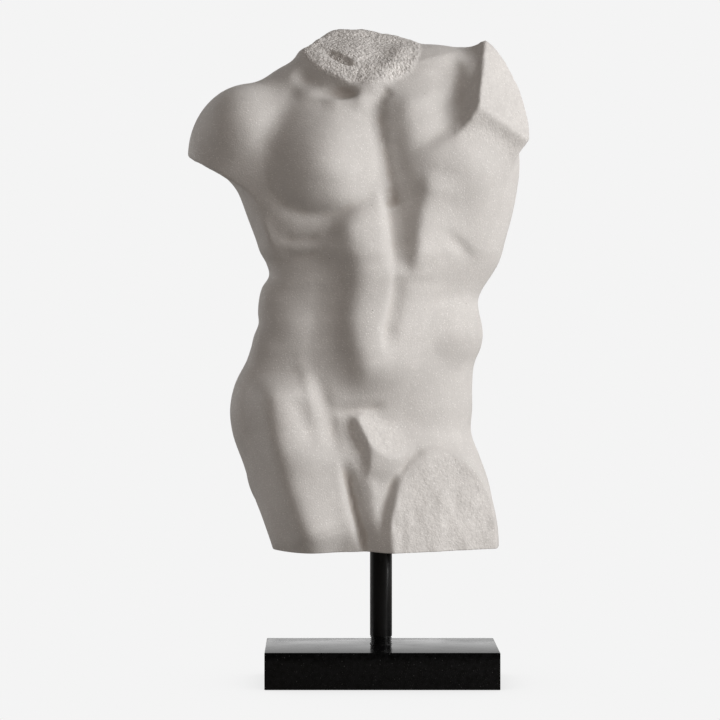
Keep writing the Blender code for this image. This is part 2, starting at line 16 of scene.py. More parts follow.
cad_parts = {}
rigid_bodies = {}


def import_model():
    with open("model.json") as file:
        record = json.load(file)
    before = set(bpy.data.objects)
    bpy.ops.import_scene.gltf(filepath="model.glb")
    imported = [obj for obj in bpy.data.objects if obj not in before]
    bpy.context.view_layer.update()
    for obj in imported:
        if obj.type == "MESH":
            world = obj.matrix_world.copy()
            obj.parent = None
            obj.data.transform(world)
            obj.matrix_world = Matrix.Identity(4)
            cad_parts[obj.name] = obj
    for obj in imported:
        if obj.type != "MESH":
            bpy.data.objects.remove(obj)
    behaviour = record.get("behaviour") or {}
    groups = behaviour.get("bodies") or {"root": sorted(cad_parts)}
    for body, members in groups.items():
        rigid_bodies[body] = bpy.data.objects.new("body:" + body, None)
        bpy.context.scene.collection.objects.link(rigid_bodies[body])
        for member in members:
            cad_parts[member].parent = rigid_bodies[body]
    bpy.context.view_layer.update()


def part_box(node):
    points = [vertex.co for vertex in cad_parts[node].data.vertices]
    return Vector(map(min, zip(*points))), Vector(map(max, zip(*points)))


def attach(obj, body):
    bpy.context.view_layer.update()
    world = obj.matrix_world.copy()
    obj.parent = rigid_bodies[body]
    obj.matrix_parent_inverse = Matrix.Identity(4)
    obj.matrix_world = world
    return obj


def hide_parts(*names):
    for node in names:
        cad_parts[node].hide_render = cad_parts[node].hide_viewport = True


bl_info = {
    "name": "Resin torso on a rod",
    "version": (1, 0, 0),
    "blender": (4, 5, 0),
    "location": "3D View > Sidebar > Torso",
    "description": "Makes a cast resin torso, its threaded rod, its plinth and a plain studio",
    "category": "Object",
}

for old in list(bpy.data.objects):
    bpy.data.objects.remove(old)
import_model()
TORSO_LOW, TORSO_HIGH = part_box("torso")
ROD_LOW, ROD_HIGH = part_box("rod")
PLINTH_LOW, PLINTH_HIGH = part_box("plinth")
ROD_RADIUS = (ROD_HIGH.x - ROD_LOW.x) / 2
MM = 0.001

# In metres: the gap round the rod in its sockets, the thread's gap to what it meets, and its run-out
CLEARANCE = 0.0003
THREAD_GAP = 0.0002
THREAD_END = 0.0006

# How finely the round pieces are divided
ROD_SIDES = 96
SOCKET_SIDES = 64
ROWS_PER_TURN = 10

FIRST_SIZE = 4.0

# The form's measures, in millimetres, drawn as the picture shows it: x to the right, z up from the underside
DRAWN_HEIGHT = 521.8

# The picture's width, and its middle in the same measures: a pixel is a millimetre at the rod
PICTURE = 720
PICTURE_MIDDLE = (-21, 194)

# The loft is cut off at its top. The rings of the blockout stop a little inside it.
LOFT_TOP = 486.0
RINGS = 52
RING_SIDES = 64
RING_HEIGHTS = np.linspace(-28, 485, RINGS)

# How far out a mass and a hollow are worked out, in millimetres, and a stroke, in widths
MASS_MARGIN = 25
HOLLOW_MARGIN = 20
STROKE_MARGIN = 2.6

# Shares of the half depth: how far from the middle relief starts, to the front or back, and rises over
RELIEF_START = 0.05
RELIEF_RISE = 0.5

# How far smoothing lifts the surface where a crease begins, and how much further where it is full: creases
# get painted shade
CREASE_LEAST = 0.2
CREASE_SPAN = 1.6

# height, left, right, front, back, squareness, turn
STATIONS = [
    (-30, -98, 118, -46, 54, 2.5, 10),
    (4, -106, 117, -48, 58, 2.5, 12),
    (26, -110.5, 116, -50, 62, 2.5, 13),
    (50, -122, 112, -52, 66, 2.5, 15),
    (74, -132, 107, -54, 68, 2.4, 17),
    (98, -139, 98.5, -55, 68, 2.4, 19),
    (122, -146, 90, -47, 66, 2.2, 20),
    (146, -149, 91, -46, 62, 2.2, 21),
    (170, -145, 91, -45, 56, 2.2, 21),
    (194, -134, 94, -44, 50, 2.2, 20),
    (206, -130, 99, -43.5, 47, 2.2, 20),
    (218, -127, 101, -43, 45, 2.2, 19),
    (230, -122.5, 100, -42, 44, 2.2, 19),
    (242, -123, 97.5, -41, 44, 2.2, 18),
    (254, -122, 97, -41, 45, 2.2, 18),
    (266, -119, 102, -42, 47, 2.2, 17),
    (278, -112, 110, -43, 49, 2.2, 17),
    (290, -114.5, 117, -45, 51, 2.3, 16),
    (302, -121, 121, -50, 54, 2.3, 15),
    (314, -125, 123, -52, 57, 2.3, 14),
    (338, -134, 128.5, -55, 63, 2.3, 13),
    (362, -142, 134, -57, 68, 2.3, 12),
    (386, -146, 138, -57, 72, 2.3, 11),
    (410, -142, 136, -53, 74, 2.3, 10),
    (434, -128, 122, -46, 73, 2.3, 9),
    (454, -108, 104, -38, 70, 2.3, 8),
    (470, -82, 80, -27, 62, 2.2, 6),
    (484, -54, 56, -12, 52, 2.2, 4),
]

# name: centre, radii, (lean, pitch, yaw), blend
MASSES = {
    "left_trapezius": ((-64, 18, 469), (74, 38, 31), (-20, 0, 0), 16),
    "right_trapezius": ((56, 26, 478), (66, 38, 31), (6, 0, 0), 20),
    "left_collar": ((-66, -12, 446), (66, 24, 16), (-10, 0, 10), 12),
    "left_latissimus": ((-90, 34, 350), (44, 40, 84), (-14, 0, 0), 10),
    "right_latissimus": ((87, 34, 352), (44, 40, 84), (12, 0, 0), 10),
    "left_hip": ((-96, -4, 138), (50, 54, 60), (-8, 0, -12), 16),
    "left_thigh": ((-79, -14, 44), (39, 52, 120), (-19, 0, -14), 8),
    "left_glute": ((-88, 32, 92), (46, 56, 62), (0, 0, 20), 8),
    "right_glute": ((22, 38, 88), (64, 54, 62), (0, 0, 18), 8),
    "left_deltoid": ((-138, -24, 425), (32, 31, 38), (-14, 0, 0), 12),
}

# name: the mass (centre, radii, turn), the planes that break it off, blend, crispness
BROKEN = {
    "neck": (
        ((-22, 10, 490), (60, 46, 80), (-3, 0, 0)),
        [
            ((-18, 8, 501), (0.1, -0.6, 0.79)),
            ((-18, 8, 520), (0, -0.1, 0.99)),
            ((-56, 8, 520), (-0.59, 0.05, 0.81)),
            ((14, 8, 521), (0.3, 0.1, 0.95)),
        ],
        14,
        3,
    ),
    "arm": (
        ((-130, 0, 397), (63, 52, 73), (0, 0, 0)),
        [
            ((-168, 0, 383.5), (-0.475, 0, -0.88)),
        ],
        15,
        1.5,
    ),
    "shoulder": (
        ((94, -4, 447), (83, 41, 70), (-24, 0, -24)),
        [
            ((128, 0, 459), (0.7, -0.62, 0.36)),
            ((104, 5, 514), (-0.78, -0.5, 0.42)),
            ((122, -23, 433), (0.35, -0.86, -0.4)),
        ],
        12,
        3,
    ),
    "thigh": (
        ((45, -4, -2), (71, 77, 110), (7, 0, 8)),
        [
            ((60, -37.5, 50), (0.42, -0.88, 0.2)),
        ],
        8,
        1.5,
    ),
    "sex": (
        ((-24, -38, 101), (47, 30, 43), (-12, 0, 0)),
        [
            ((-20, -60, 115), (-0.62, -0.78, -0.05)),
            ((-8, -63, 111), (0.62, -0.68, 0.54)),
            ((-20, -50, 146), (0, -0.35, 0.94)),
        ],
        5,
        1,
    ),
}
# Smooth sides pared from a broken mass: planes, and how softly they meet it
PARED = {
    "neck": ([((2, -20, 480), (0.78, -0.62, 0.1)), ((-46, -28, 480), (-0.6, -0.8, 0))], 9),
}
# Hollows: centre, radii, turn, blend
HOLLOWS = [
    ((137, -42, 396), (14, 22, 24), (0, 0, 0), 8),
    ((-50, -14, 500), (24, 16, 4.5), (28, 0, 0), 3),
    ((-27, -42, 481), (18, 14, 12), (10, 0, 0), 3),
    ((-50, -38, 464), (26, 14, 9), (8, 0, 0), 5),
]

# The point that the drawing is seen from, and where what lies straight ahead of it is in the drawing
EYE = (-53.0, -2533.0, 246.6)
DRAWN = (-53.0, 254.0)

# name, centre x, z, half width, half height, turn, height, squareness, hardness, side (-1 front, 1 back)
PADS = [
    ("left_pec", -60, 396, 58, 56, 0, 15, 2.4, 1.4, -1),
    ("left_pec_low", -58, 368, 50, 32, 0, 5, 2.4, 1.6, -1),
    ("right_pec", 72, 396, 62, 54, 12, 8.5, 2.4, 1.8, -1),
    ("right_pec_upper", 28, 440, 40, 38, -20, 6, 2.2, 1.8, -1),
    ("right_belly", 34, 250, 34, 90, 0, 3, 2.2, 2, -1),
    ("lower_belly", 2, 178, 62, 36, 0, 4, 2.2, 1.8, -1),
    ("left_flank", -92, 232, 28, 26, 0, 2.5, 2, 2, -1),
    ("right_flank", 80, 224, 34, 44, 12, 5, 2.0, 1.6, -1),
    ("left_scapula", -70, 408, 50, 58, 10, 9, 2.3, 1.2, 1),
    ("right_scapula", 62, 418, 50, 54, -10, 10, 2.3, 1.2, 1),
    ("left_spinal", -42, 232, 20, 84, 8, 7, 2.2, 1.2, 1),
    ("right_spinal", 0, 240, 20, 84, 8, 7, 2.2, 1.2, 1),
    ("left_back", -70, 320, 46, 60, 0, 4, 2.2, 1.3, 1),
    ("right_back", 52, 320, 50, 60, 0, 4, 2.2, 1.3, 1),
    ("right_pec_side", 96, 376, 36, 50, 0, 3, 2.2, 1.8, -1),
    ("right_hip", 60, 150, 40, 50, 0, 3, 2.2, 1.8, -1),
]

# name, line in x, z, height (+) or depth (-), width on its right and its left as it runs, taper, side
STROKES = [
    ("sternum", [(8, 468), (-3, 453), (-1, 424), (3, 397), (8, 370), (14, 345)], -5, 10, 7, 0.06, -1),
    ("linea_alba", [(8, 372), (10, 348), (12, 328), (14, 310), (15, 294), (16, 278)], -14, 7, 16, 0.35, -1),
    ("linea_low", [(15, 290), (15, 266), (11, 246), (5, 222), (9, 198)], -5, 5, 10, 0.3, -1),
    ("left_rectus", [(-34, 350), (-26, 322), (-21, 290), (-20, 268), (-25, 240), (-23, 218), (-14, 190),
      (-8, 160)], 10, 18, 29, 0.15, -1),
    ("right_rectus", [(54, 384), (48, 352), (43, 322), (41, 296), (40, 270)], 8, 13, 24, 0.2, -1),
    ("left_clavicle", [(-62, 452), (-46, 457), (-24, 457), (-6, 452)], 5, 12, 4, 0.3, -1),
    ("left_collar_hollow", [(-90, 480), (-64, 472), (-42, 467), (-18, 462)], -9, 8, 11, 0.25, -1),
    ("right_clavicle", [(12, 448), (34, 456), (56, 462), (78, 464)], 3, 10, 10, 0.3, -1),
    ("delto_pectoral", [(-78, 468), (-92, 452), (-106, 434), (-116, 416), (-120, 396)], -3, 10, 12, 0.2, -1),
    ("right_diagonal", [(22, 404), (40, 412), (62, 424), (84, 440), (94, 456)], -5, 9, 13, 0.4, -1),
    ("left_arch", [(-104, 316), (-84, 314), (-58, 317)], -2.5, 5, 5, 0.3, -1),
    ("right_arch", [(60, 326), (74, 312), (86, 300), (96, 292)], -3, 8, 7, 0.4, -1),
    ("left_rib_1", [(-124, 342), (-115, 322), (-108, 300)], 3, 7, 7, 0.4, -1),
    ("left_waist", [(-116, 290), (-96, 292), (-66, 296), (-44, 300)], -3, 7, 7, 0.3, -1),
    ("left_waist_roll", [(-112, 270), (-80, 274), (-40, 274)], 2, 8, 8, 0.3, -1),
    ("right_cross", [(18, 284), (34, 284), (58, 292)], -1.5, 7, 7, 0.3, -1),
    ("groin_left", [(-68, 184), (-59, 160), (-52, 136), (-47, 110), (-41, 90)], -4, 9, 8, 0.35, -1),
    ("iliac", [(-84, 200), (-76, 180), (-70, 158), (-64, 124)], 2, 6, 7, 0.4, -1),
    ("thigh_front", [(-108, 182), (-105, 140), (-99, 110), (-92, 80), (-82, 50), (-70, 20),
      (-62, -6)], 22, 20, 40, 0.15, -1),
    ("belly_crease", [(-54, 144), (-30, 143), (-8, 146), (6, 149)], -3, 6, 7, 0.25, -1),
    ("groin_right", [(16, 78), (28, 94), (44, 106)], -3, 8, 7, 0.3, -1),
    ("crotch_left", [(-40, 96), (-32, 70), (-28, 48), (-21, 24), (-12, -8)], -11, 5, 7, 0.3, -1),
    ("scrotum", [(-14, 84), (-8, 62), (-6, 40), (-1, 22), (4, 2)], 4, 8, 8, 0.2, -1),
    ("crotch_right", [(14, 90), (11, 68), (7, 46), (5, 22), (8, -10)], -4, 5, 4, 0.25, -1),
    ("spine", [(-8, 480), (-8, 420), (-10, 370), (-16, 320), (-22, 270), (-30, 220), (-40, 176),
      (-46, 150)], -8, 15, 15, 0.15, 1),
    ("cleft", [(-46, 156), (-45, 120), (-38, 80), (-26, 40), (-14, -20)], -13, 9, 9, 0.1, 1),
    ("left_shoulder_blade", [(-30, 452), (-34, 420), (-46, 380), (-70, 356), (-100, 350)], -4, 9, 9, 0.3, 1),
    ("right_shoulder_blade", [(18, 462), (22, 430), (34, 392), (56, 368), (90, 362)], -4, 9, 9, 0.3, 1),
    ("left_seat", [(-128, 44), (-100, 30), (-60, 24), (-34, 30)], -9, 10, 9, 0.2, 1),
    ("right_seat", [(-20, 30), (20, 22), (62, 26), (96, 44)], -9, 10, 9, 0.2, 1),
    ("left_dimple", [(-78, 168), (-70, 150)], -4, 9, 9, 0.3, 1),
    ("right_dimple", [(-8, 166), (-14, 150)], -4, 9, 9, 0.3, 1),
    ("keel", [(6, 362), (4, 320), (2, 260), (1, 210), (4, 170), (8, 130)], 19, 62, 48, 0.35, -1),
    ("chest_valley", [(2, 462), (0, 440), (2, 420), (4, 400), (8, 376), (13, 348)], -8, 38, 19, 0.3, -1),
    ("left_belly_side", [(-52, 300), (-58, 262), (-60, 232), (-64, 200), (-60, 176)], -2.5, 14, 26, 0.3, -1),
    ("neck_right", [(-12, 462), (0, 480), (16, 500), (26, 518)], 4, 12, 10, 0.2, -1),
    ("rib_margin", [(-8, 356), (-28, 336), (-46, 312), (-58, 292)], 3, 10, 14, 0.3, -1),
    ("right_neck_hollow", [(68, 500), (72, 482), (77, 462), (84, 440)], -8, 22, 11, 0.3, -1),
    ("left_pec_under", [(-116, 378), (-104, 356), (-82, 342), (-56, 338), (-32, 344),
      (-14, 358)], -3.5, 9, 8, 0.3, -1),
    ("chest_valley_low", [(10, 424), (14, 404), (16, 384), (20, 360), (22, 340)], -4, 16, 24, 0.35, -1),
    ("left_rib_2", [(-102, 299), (-80, 298), (-60, 302)], -2, 4, 5, 0.3, -1),
    ("base_round", [(-116, -2), (-92, -4), (-66, -6)], -4, 14, 16, 0.4, -1),
    ("thigh_valley", [(-90, 160), (-80, 138), (-72, 120), (-65, 102)], -2.8, 8, 9, 0.35, -1),
    ("pec_ridge", [(-48, 456), (-52, 430), (-56, 400), (-58, 370)], 4, 30, 30, 0.3, -1),
]


def catmull(z, xs, ys):
    """A smooth curve through the points (xs, ys), at each z."""
    xs, ys = np.asarray(xs, float), np.asarray(ys, float)
    slope = np.gradient(ys, xs)
    z = np.clip(z, xs[0], xs[-1])
    i = np.clip(np.searchsorted(xs, z) - 1, 0, len(xs) - 2)
    h = xs[i + 1] - xs[i]
    t = (z - xs[i]) / h
    return ((2*t**3 - 3*t**2 + 1) * ys[i] + (t**3 - 2*t**2 + t) * h * slope[i]
            + (3*t**2 - 2*t**3) * ys[i+1] + (t**3 - t**2) * h * slope[i+1])


def section(z):
    """Centre x and y, half width and depth, squareness and turn at each height."""
    s = np.array(STATIONS, float)
    left, right, front, back, n, turn = (catmull(z, s[:, 0], s[:, k]) for k in range(1, 7))
    turn = np.radians(turn)
    b = (back - front) / 2
    m = n / (n - 1)
    w = (right - left) / 2
    a = (w**m - np.abs(b * np.sin(turn)) ** m) ** (1 / m) / np.cos(turn)
    return (left + right) / 2, (front + back) / 2, a, b, n, turn


def rotation(lean, pitch, yaw):
    """The matrix of a lean about y, then a pitch about x, then a yaw about z, in degrees."""
    a, b, c = radians(lean), radians(pitch), radians(yaw)
    ry = np.array([[np.cos(a), 0, np.sin(a)], [0, 1, 0], [-np.sin(a), 0, np.cos(a)]])
    rx = np.array([[1, 0, 0], [0, np.cos(b), -np.sin(b)], [0, np.sin(b), np.cos(b)]])
    rz = np.array([[np.cos(c), -np.sin(c), 0], [np.sin(c), np.cos(c), 0], [0, 0, 1]])
    return rz @ rx @ ry


def ellipsoid(p, centre, radii, turn):
    """About how far each point lies outside the turned ellipsoid."""
    q = (p - np.array(centre)) @ rotation(*turn)
    r = np.array(radii, float)
    k0 = np.sqrt(((q / r) ** 2).sum(1))
    k1 = np.sqrt(((q / r**2) ** 2).sum(1))
    return k0 * (k0 - 1) / np.maximum(k1, 1e-6)


def trunk(p):
    """Distance to the loft, and where each point lies from its back (1) to its front (-1)."""
    cx, cy, a, b, n, turn = section(p[:, 2])
    dx, dy = p[:, 0] - cx, p[:, 1] - cy
    c, s = np.cos(turn), np.sin(turn)
    lx, ly = dx * c + dy * s, dy * c - dx * s
    u, v = np.abs(lx) / a, np.abs(ly) / b
    f = (u**n + v**n + 1e-9) ** (1 / n)
    g = np.sqrt((u ** (n - 1) / a) ** 2 + (v ** (n - 1) / b) ** 2) * f ** (1 - n)
    d = (f - 1) / np.maximum(g, 0.4 / np.maximum(a, b))
    return smooth_cut(d, p[:, 2] - LOFT_TOP, k=3), ly / b


def smooth_union(a, b, k):
    """The nearer of two distances, blended where they differ by less than k."""
    h = np.clip(0.5 + 0.5 * (b - a) / k, 0, 1)
    return b + (a - b) * h - k * h * (1 - h)


def smooth_cut(a, b, k):
    """The further of two distances, blended the same way: what lies in both bodies."""
    return -smooth_union(-a, -b, k)


def smooth(t):
    """Eases from 0 to 1."""
    t = np.clip(t, 0, 1)
    return t * t * (3 - 2 * t)


def plane(p, at, normal):
    """How far each point lies in front of the plane."""
    n = np.array(normal, float)
    return (p - np.array(at, float)) @ (n / np.linalg.norm(n))


def rounded(line):
    """Cuts the corners of a line once."""
    pts = [np.array(q, float) for q in line]
    out = [pts[0]]
    for a, b in zip(pts, pts[1:]):
        out += [a * 0.75 + b * 0.25, a * 0.25 + b * 0.75]
    return out + [pts[-1]]


def stroke(x, z, line, height, low, high, taper):
    """Height of a soft ridge or groove along the line, at each point."""
    best = np.full(len(x), 1e9)
    sign = np.zeros(len(x))
    at = np.zeros(len(x))
    steps = [np.linalg.norm(b - a) for a, b in zip(line, line[1:])]
    total, done = sum(steps), 0.0
    for a, b, long in zip(line, line[1:], steps):
        dx, dz = (b - a) / long
        qx, qz = x - a[0], z - a[1]
        t = np.clip(qx * dx + qz * dz, 0, long)
        ox, oz = qx - t * dx, qz - t * dz
        d = np.sqrt(ox * ox + oz * oz)
        near = d < best
        best = np.where(near, d, best)
        sign = np.where(near, dx * qz - dz * qx, sign)
        at = np.where(near, (done + t) / total, at)
        done += long
    ends = smooth(np.minimum(at, 1 - at) / taper * 0.9 + 0.1)
    mix = smooth(sign / (low + high) + 0.5)
    width = low + (high - low) * mix
    return height * ends * np.exp(-((best / width) ** 2))


LINES = [(rounded(line), *rest) for _, line, *rest in STROKES]


def relief(p, v):
    """How far the pads and strokes lift the surface at each point, on the front and on the back."""
    out = np.zeros(len(p))
    x, z = p[:, 0], p[:, 2]
    for side in (-1, 1):
        on = smooth((v * side - RELIEF_START) / RELIEF_RISE)
        some = np.where(on > 0)[0]
        xs, zs, r = x[some], z[some], np.zeros(len(some))
        for _, cx, cz, rx, rz, turn, height, n, hard, of in PADS:
            if of != side:
                continue
            m = np.where((np.abs(xs - cx) < max(rx, rz)) & (np.abs(zs - cz) < max(rx, rz)))[0]
            c, s = np.cos(radians(turn)), np.sin(radians(turn))
            qx, qz = xs[m] - cx, zs[m] - cz
            lx, lz = np.abs(qx * c + qz * s) / rx, np.abs(qz * c - qx * s) / rz
            f = np.clip(1 - (lx**n + lz**n) ** (2 / n), 0, 1)
            r[m] += height * f**hard
        for line, height, low, high, taper, of in LINES:
            if of != side:
                continue
            margin = STROKE_MARGIN * max(low, high)
            first, last = np.min(line, axis=0) - margin, np.max(line, axis=0) + margin
            m = np.where((xs > first[0]) & (xs < last[0]) & (zs > first[1]) & (zs < last[1]))[0]
            if len(m):
                r[m] += stroke(xs[m], zs[m], line, height, low, high, taper)
        out[some] += r * on[some]
    return out


def drawn(p):
    """Where points of the solid lie in the drawing."""
    s = EYE[1] / (EYE[1] - p[:, 1])
    return np.column_stack(((p[:, 0] - EYE[0]) * s + DRAWN[0], p[:, 1], (p[:, 2] - EYE[2]) * s + DRAWN[1]))


def solid(q):
    """Where points of the drawing lie in the solid."""
    s = EYE[1] / (EYE[1] - q[:, 1])
    return np.column_stack(((q[:, 0] - DRAWN[0]) / s + EYE[0], q[:, 1], (q[:, 2] - DRAWN[1]) / s + EYE[2]))


def around(p, centre, radii, margin):
    """Which points lie in the box round an ellipsoid, with a margin."""
    return np.where((np.abs(p - np.array(centre)) < max(radii) + margin).all(1))[0]


def field(p):
    """Distance from the surface, with rough faces on the breaks."""
    p = drawn(p)
    d, v = trunk(p)
    for centre, radii, turn, k in MASSES.values():
        m = around(p, centre, radii, MASS_MARGIN)
        d[m] = smooth_union(d[m], ellipsoid(p[m], centre, radii, turn), k)
    d = d - relief(p, v)
    for name, ((centre, radii, turn), cuts, k, crisp) in BROKEN.items():
        m = around(p, centre, radii, MASS_MARGIN)
        e = ellipsoid(p[m], centre, radii, turn)
        sides, soft = PARED.get(name, ([], 1))
        for side in sides:
            e = smooth_cut(e, plane(p[m], *side), soft)
        rough = fractured(p[m], name)
        for cut in cuts:
            e = smooth_cut(e, plane(p[m], *cut) + rough, crisp)
        d[m] = smooth_union(d[m], e, k)
    for centre, radii, turn, k in HOLLOWS:
        m = around(p, centre, radii, HOLLOW_MARGIN)
        d[m] = smooth_cut(d[m], -ellipsoid(p[m], centre, radii, turn), k)
    return d


def gradient(p, d, step=0.25):
    """How fast the distance grows along x, y and z."""
    g = np.empty_like(p)
    for k in range(3):
        q = p.copy()
        q[:, k] += step
        g[:, k] = (field(q) - d) / step
    return g


# How rough each break is: height and grain in millimetres, how far the grain is drawn out along x, y and z,
# how raw (rawer breaks get more grain and a lighter colour, which is partly painted light), and how far from
# its planes the rawness reaches, in millimetres
ROUGHNESS = {
    "neck": (1.0, 9.0, (1.0, 1.0, 1.0), 1.0, 10.0),
    "arm": (0.5, 6.0, (1.0, 1.0, 1.0), 0.3, 3.0),
    "shoulder": (0.6, 12.0, (1.0, 1.0, 1.6), 0.2, 3.0),
    "thigh": (1.5, 15.0, (1.0, 1.0, 1.8), 0.3, 3.0),
    "sex": (0.4, 6.0, (1.0, 1.0, 1.0), 0.3, 3.0),
}
# Large primes and an odd factor that scramble a lattice point's place into a value
PRIMES = np.array([374761393, 668265263, 2147483647])
SCRAMBLE = 1274126177


def lattice(q):
    """Smooth noise from -1 to 1 on a lattice of step 1, the same in each run."""
    low = np.floor(q).astype(np.int64)
    f = smooth(q - low)
    out = np.zeros(len(q))
    for corner in range(8):
        step = np.array([corner & 1, corner >> 1 & 1, corner >> 2 & 1])
        h = (low + step) @ PRIMES
        h = (h ^ (h >> 13)) * SCRAMBLE
        h = (h ^ (h >> 16)) & 0xFFFF
        out += np.where(step, f, 1 - f).prod(1) * (h / 32767.5 - 1)
    return out


def fractured(p, name):
    """How far the break's real face stands from its plane at each point."""
    height, grain, drawn_out, _, _ = ROUGHNESS[name]
    q = p / (np.array(drawn_out) * grain)
    return height * (lattice(q) + 0.45 * lattice(q * 2.3 + 7.7) + 1.2 * lattice(q * 0.37 + 3.1))


def broken(p):
    """How much each point of the surface lies on a break, scaled by how raw it is, 0 to 1. The material
    lightens the colour there, partly with painted light.
    """
    p = drawn(p)
    out = np.zeros(len(p))
    for name, (mass, cuts, _, _) in BROKEN.items():
        e = ellipsoid(p, *mass)
        _, _, _, raw_and_painted_light, reach = ROUGHNESS[name]
        for cut in cuts:
            d = plane(p, *cut)
            inside_rim = smooth((d - e) / 6)
            near_plane = smooth(2.4 - np.abs(d) / reach)
            near_mass = smooth(1 - e / 5)
            out = np.maximum(out, raw_and_painted_light * inside_rim * near_plane * near_mass)
    return out


def made_object(name, bm, smooth_faces=True):
    """Turns the bmesh into an object at the origin."""
    for face in bm.faces:
        face.smooth = smooth_faces
    mesh = bpy.data.meshes.new(name)
    bm.to_mesh(mesh)
    bm.free()
    obj = bpy.data.objects.new(name, mesh)
    bpy.context.scene.collection.objects.link(obj)
    return obj


def points_of(mesh):
    """The mesh's points, one in each row."""
    points = np.empty(len(mesh.vertices) * 3)
    mesh.vertices.foreach_get("co", points)
    return points.reshape(-1, 3)


def finished(obj, kind, **settings):
    """Adds the modifier and makes its result the object's mesh."""
    modifier = obj.modifiers.new(kind.lower(), kind)
    for name, value in settings.items():
        setattr(modifier, name, value)
    graph = bpy.context.evaluated_depsgraph_get()
    mesh = bpy.data.meshes.new_from_object(obj.evaluated_get(graph))
    obj.modifiers.clear()
    obj.data = mesh


def settle(obj, rounds, most):
    """Moves the mesh's points onto the surface, each by at most so far in a round."""
    points = points_of(obj.data)
    for _ in range(rounds):
        d = field(points)
        g = gradient(points, d)
        size = np.maximum((g**2).sum(1), 0.05)
        step = np.clip(d / size, -most, most)
        points = points - step[:, None] * g
    obj.data.vertices.foreach_set("co", points.ravel())
    obj.data.update()


def edges_at(verts):
    """The edges that meet the vertices, each once."""
    return list(dict.fromkeys(edge for vert in verts for edge in vert.link_edges))


def of_kind(geometry, kind):
    """The vertices or the edges among what a bmesh operator made."""
    return [part for part in geometry if isinstance(part, kind)]


def add_ellipsoid(bm, centre, radii, turn):
    """Adds an ellipsoid as a closed shell."""
    place = Matrix.Translation(centre) @ Matrix(rotation(*turn).tolist()).to_4x4()
    bmesh.ops.create_icosphere(bm, subdivisions=4, radius=1, matrix=place @ Matrix.Diagonal((*radii, 1)))


def cut_off(bm, at, normal):
    """Takes away what lies beyond the plane, and returns the rim's edges."""
    geometry = bm.verts[:] + bm.edges[:] + bm.faces[:]
    made = bmesh.ops.bisect_plane(bm, geom=geometry, plane_co=at, plane_no=normal, clear_outer=True)
    return of_kind(made["geom_cut"], bmesh.types.BMEdge)


def add_loft(bm):
    """Adds the trunk as a closed shell of turned rings."""
    below = None
    for z, cx, cy, a, b, n, turn in zip(RING_HEIGHTS, *section(RING_HEIGHTS)):
        ring = bmesh.ops.create_circle(bm, cap_ends=False, radius=1, segments=RING_SIDES)["verts"]
        for vert in ring:
            c, s = vert.co.x, vert.co.y
            u, v = a * np.sign(c) * abs(c) ** (2 / n), b * np.sign(s) * abs(s) ** (2 / n)
            vert.co = (cx + u * cos(turn) - v * sin(turn), cy + u * sin(turn) + v * cos(turn), z)
        loop = edges_at(ring)
        if below is None:
            bmesh.ops.contextual_create(bm, geom=loop)
        else:
            bmesh.ops.bridge_loops(bm, edges=below + loop)
        below = loop
    bmesh.ops.contextual_create(bm, geom=below)
    bmesh.ops.recalc_face_normals(bm, faces=bm.faces[:])


def add_broken(bm, mass, cuts):
    """Adds a mass that planes cut off, as a closed shell."""
    part = bmesh.new()
    add_ellipsoid(part, *mass)
    for at, normal in cuts:
        rim = cut_off(part, at, normal)
        if rim:
            bmesh.ops.contextual_create(part, geom=rim)
    made = bpy.data.meshes.new("part")
    part.to_mesh(made)
    part.free()
    bm.from_mesh(made)
    bpy.data.meshes.remove(made)


def blockout():
    """The trunk's loft and every mass, as closed shells that cross each other."""
    bm = bmesh.new()
    add_loft(bm)
    for centre, radii, turn, _ in MASSES.values():
        add_ellipsoid(bm, centre, radii, turn)
    for mass, cuts, _, _ in BROKEN.values():
        add_broken(bm, mass, cuts)
    for vert, at in zip(bm.verts, solid(np.array([v.co for v in bm.verts]))):
        vert.co = at
    return bm


def shaped_torso(size):
    """The torso's surface in the form's millimetres, with faces of that size."""
    torso = made_object("torso_cast", blockout())
    finished(torso, "REMESH", mode="VOXEL", voxel_size=FIRST_SIZE)
    settle(torso, rounds=4, most=12.0)
    finished(torso, "REMESH", mode="VOXEL", voxel_size=size)
    settle(torso, rounds=3, most=4.0)
    finished(torso, "SMOOTH", factor=0.5, iterations=3)
    settle(torso, rounds=2, most=2.0)
    return torso


def mark_surface(torso):
    """Writes two attributes at each point: how much it lies on a break, and how deep in a crease. The
    material lightens breaks, partly with painted light, and darkens creases with painted shade.
    """
    relaxed = torso.copy()
    relaxed.data = torso.data.copy()
    bpy.context.scene.collection.objects.link(relaxed)
    finished(relaxed, "SMOOTH", factor=0.5, iterations=24)
    lifted = field(points_of(relaxed.data))
    bpy.data.objects.remove(relaxed)
    marks = {
        "broken": broken(points_of(torso.data)),
        "crease": smooth((lifted - CREASE_LEAST) / CREASE_SPAN),
    }
    for name, value in marks.items():
        marked = torso.data.attributes.new(name, "FLOAT", "POINT")
        marked.data.foreach_set("value", value.astype(np.float32))


def bore(bm, rim, mouth_z, floor_z, radius):
    """Fills the level face inside its rim, and sinks a round socket from it to the floor's height."""
    mouth = bmesh.ops.create_circle(
        bm, cap_ends=False, radius=radius, segments=SOCKET_SIDES, matrix=Matrix.Translation((0, 0, mouth_z))
    )["verts"]
    loop = edges_at(mouth)
    out = (0, 0, 1 if floor_z < mouth_z else -1)
    bmesh.ops.triangle_fill(bm, edges=rim + loop, use_beauty=True, normal=out)
    wall = bmesh.ops.extrude_edge_only(bm, edges=loop)["geom"]
    bmesh.ops.translate(bm, verts=of_kind(wall, bmesh.types.BMVert), vec=(0, 0, floor_z - mouth_z))
    bmesh.ops.contextual_create(bm, geom=of_kind(wall, bmesh.types.BMEdge))
    bmesh.ops.recalc_face_normals(bm, faces=bm.faces[:])


